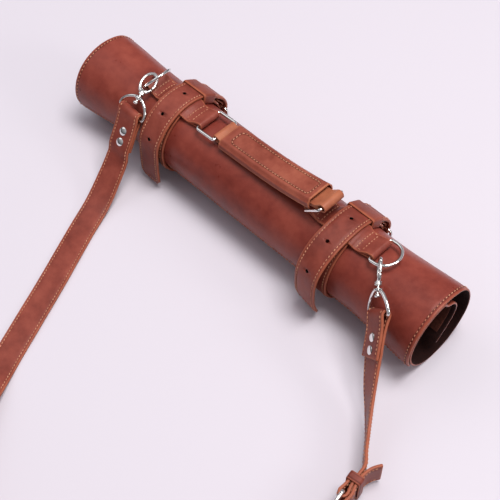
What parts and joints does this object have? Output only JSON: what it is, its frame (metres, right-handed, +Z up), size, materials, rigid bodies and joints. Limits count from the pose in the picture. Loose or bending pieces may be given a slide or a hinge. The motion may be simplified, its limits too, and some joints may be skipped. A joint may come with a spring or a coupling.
{
  "type": "roll case",
  "caption": "Rolled leather carrying case for slim tools, held shut by two buckled belts, with a padded carrying handle and a clip-on shoulder strap.",
  "frame": {"origin": "centre of the case box at the level of the surface it rests on, shoulder strap left out", "axes": "+X along the axis of the roll, +Y to the back, +Z up; the belt tails hang down the front, at -Y"},
  "size_m": [0.4868, 0.4488, 0.1026],
  "materials": {
    "shell_leather": "waxed oil-tanned leather",
    "belt_leather": "waxed oil-tanned leather, stitched edges",
    "handle_leather": "waxed oil-tanned leather, stitched edges",
    "lining_leather": "matt lining split",
    "padding": "felt filler",
    "nickel": "polished nickel plate"
  },
  "bodies": {
    "roll": {"outer_sheet": "shell_leather", "pocket_panel": "lining_leather", "left_belt": "belt_leather", "left_buckle_frame": "nickel", "left_ring_tab": "belt_leather", "right_belt": "belt_leather", "right_buckle_frame": "nickel", "right_ring_tab": "belt_leather", "strap_long": "belt_leather", "strap_short": "belt_leather", "strap_rivet_left_1": "nickel", "strap_rivet_left_2": "nickel", "strap_rivet_right_1": "nickel", "strap_rivet_right_2": "nickel", "strap_buckle_frame": "nickel", "strap_buckle_prong": "nickel", "strap_keeper": "belt_leather"},
    "left_keeper": {"left_belt_keeper": "belt_leather"},
    "left_roller": {"left_buckle_roller": "nickel"},
    "left_prong": {"left_buckle_prong": "nickel"},
    "left_d_ring": {"left_d_ring": "nickel"},
    "right_keeper": {"right_belt_keeper": "belt_leather"},
    "right_roller": {"right_buckle_roller": "nickel"},
    "right_prong": {"right_buckle_prong": "nickel"},
    "right_d_ring": {"right_d_ring": "nickel"},
    "left_handle_ring": {"left_handle_ring": "nickel"},
    "handle": {"handle_strap": "handle_leather", "handle_padding": "padding", "handle_cover": "handle_leather"},
    "right_handle_ring": {"right_handle_ring": "nickel"},
    "left_clasp_bow": {"left_clasp_bow": "nickel"},
    "left_clasp_hook": {"left_clasp_hook": "nickel"},
    "left_clasp_gate": {"left_clasp_gate": "nickel"},
    "right_clasp_bow": {"right_clasp_bow": "nickel"},
    "right_clasp_hook": {"right_clasp_hook": "nickel"},
    "right_clasp_gate": {"right_clasp_gate": "nickel"}
  },
  "joints": [
    {"name": "left_keeper_slip", "type": "hinge", "parent": "roll", "child": "left_keeper", "pos_m": [-0.107, 0.00353, 0.0408], "axis": [-1, 0, 0], "range_deg": [0, 6]},
    {"name": "left_roller_spin", "type": "hinge", "parent": "roll", "child": "left_roller", "pos_m": [-0.107, 0.04583, 0.03025], "axis": [1, 0, 0], "continuous": true},
    {"name": "left_prong_lift", "type": "hinge", "parent": "roll", "child": "left_prong", "pos_m": [-0.107, 0.04582, 0.05056], "axis": [1, 0, 0], "range_deg": [0, 4]},
    {"name": "left_d_ring_swing", "type": "hinge", "parent": "roll", "child": "left_d_ring", "pos_m": [-0.1445, 0.00353, 0.0828], "axis": [0, 1, 0], "range_deg": [-6, 6]},
    {"name": "right_keeper_slip", "type": "hinge", "parent": "roll", "child": "right_keeper", "pos_m": [0.107, 0.00353, 0.0408], "axis": [-1, 0, 0], "range_deg": [0, 6]},
    {"name": "right_roller_spin", "type": "hinge", "parent": "roll", "child": "right_roller", "pos_m": [0.107, 0.04583, 0.03025], "axis": [1, 0, 0], "continuous": true},
    {"name": "right_prong_lift", "type": "hinge", "parent": "roll", "child": "right_prong", "pos_m": [0.107, 0.04582, 0.05056], "axis": [1, 0, 0], "range_deg": [0, 4]},
    {"name": "right_d_ring_swing", "type": "hinge", "parent": "roll", "child": "right_d_ring", "pos_m": [0.1445, 0.00353, 0.0828], "axis": [0, -1, 0], "range_deg": [-2, 10]},
    {"name": "left_handle_ring_lift", "type": "hinge", "parent": "roll", "child": "left_handle_ring", "pos_m": [-0.0695, 0.00353, 0.0828], "axis": [0, -1, 0], "range_deg": [0, 45]},
    {"name": "handle_lift", "type": "hinge", "parent": "left_handle_ring", "child": "handle", "pos_m": [-0.04654, 0.00353, 0.08408], "axis": [0, -1, 0], "range_deg": [-52, 0]},
    {"name": "right_handle_ring_lift", "type": "hinge", "parent": "roll", "child": "right_handle_ring", "pos_m": [0.0695, 0.00353, 0.0828], "axis": [0, -1, 0], "range_deg": [0, 20]},
    {"name": "left_clasp_bow_swing", "type": "hinge", "parent": "roll", "child": "left_clasp_bow", "pos_m": [-0.1385, -0.03397, 0.07], "axis": [0.9948, -0.02, -0.1], "range_deg": [-2, 2]},
    {"name": "left_clasp_swivel", "type": "hinge", "parent": "left_clasp_bow", "child": "left_clasp_hook", "pos_m": [-0.138, -0.02297, 0.082], "axis": [-0.1989, 0.9281, 0.3149], "range_deg": [-5, 5]},
    {"name": "left_clasp_gate_open", "type": "hinge", "parent": "left_clasp_hook", "child": "left_clasp_gate", "pos_m": [-0.13451, -0.00998, 0.08499], "axis": [0.2126, -0.2728, 0.9383], "range_deg": [0, 20], "stiffness_Nm_per_rad": 0.004, "springref_deg": -5.73},
    {"name": "right_clasp_bow_swing", "type": "hinge", "parent": "roll", "child": "right_clasp_bow", "pos_m": [0.1821, -0.03857, 0.068], "axis": [0.6623, -0.1003, 0.7425], "range_deg": [-2, 0.5]},
    {"name": "right_clasp_swivel", "type": "hinge", "parent": "right_clasp_bow", "child": "right_clasp_hook", "pos_m": [0.17, -0.02767, 0.0809], "axis": [-0.6005, 0.7606, 0.2469], "range_deg": [-5, 5]},
    {"name": "right_clasp_gate_open", "type": "hinge", "parent": "right_clasp_hook", "child": "right_clasp_gate", "pos_m": [0.16381, -0.01932, 0.08994], "axis": [-0.7761, -0.6287, 0.0492], "range_deg": [0, 20], "stiffness_Nm_per_rad": 0.004, "springref_deg": -5.73}
  ],
  "couplings": [
    {"joint": "handle_lift", "follows": "left_handle_ring_lift", "ratio": -1.1099},
    {"joint": "right_handle_ring_lift", "follows": "left_handle_ring_lift", "ratio": 0.418}
  ]
}
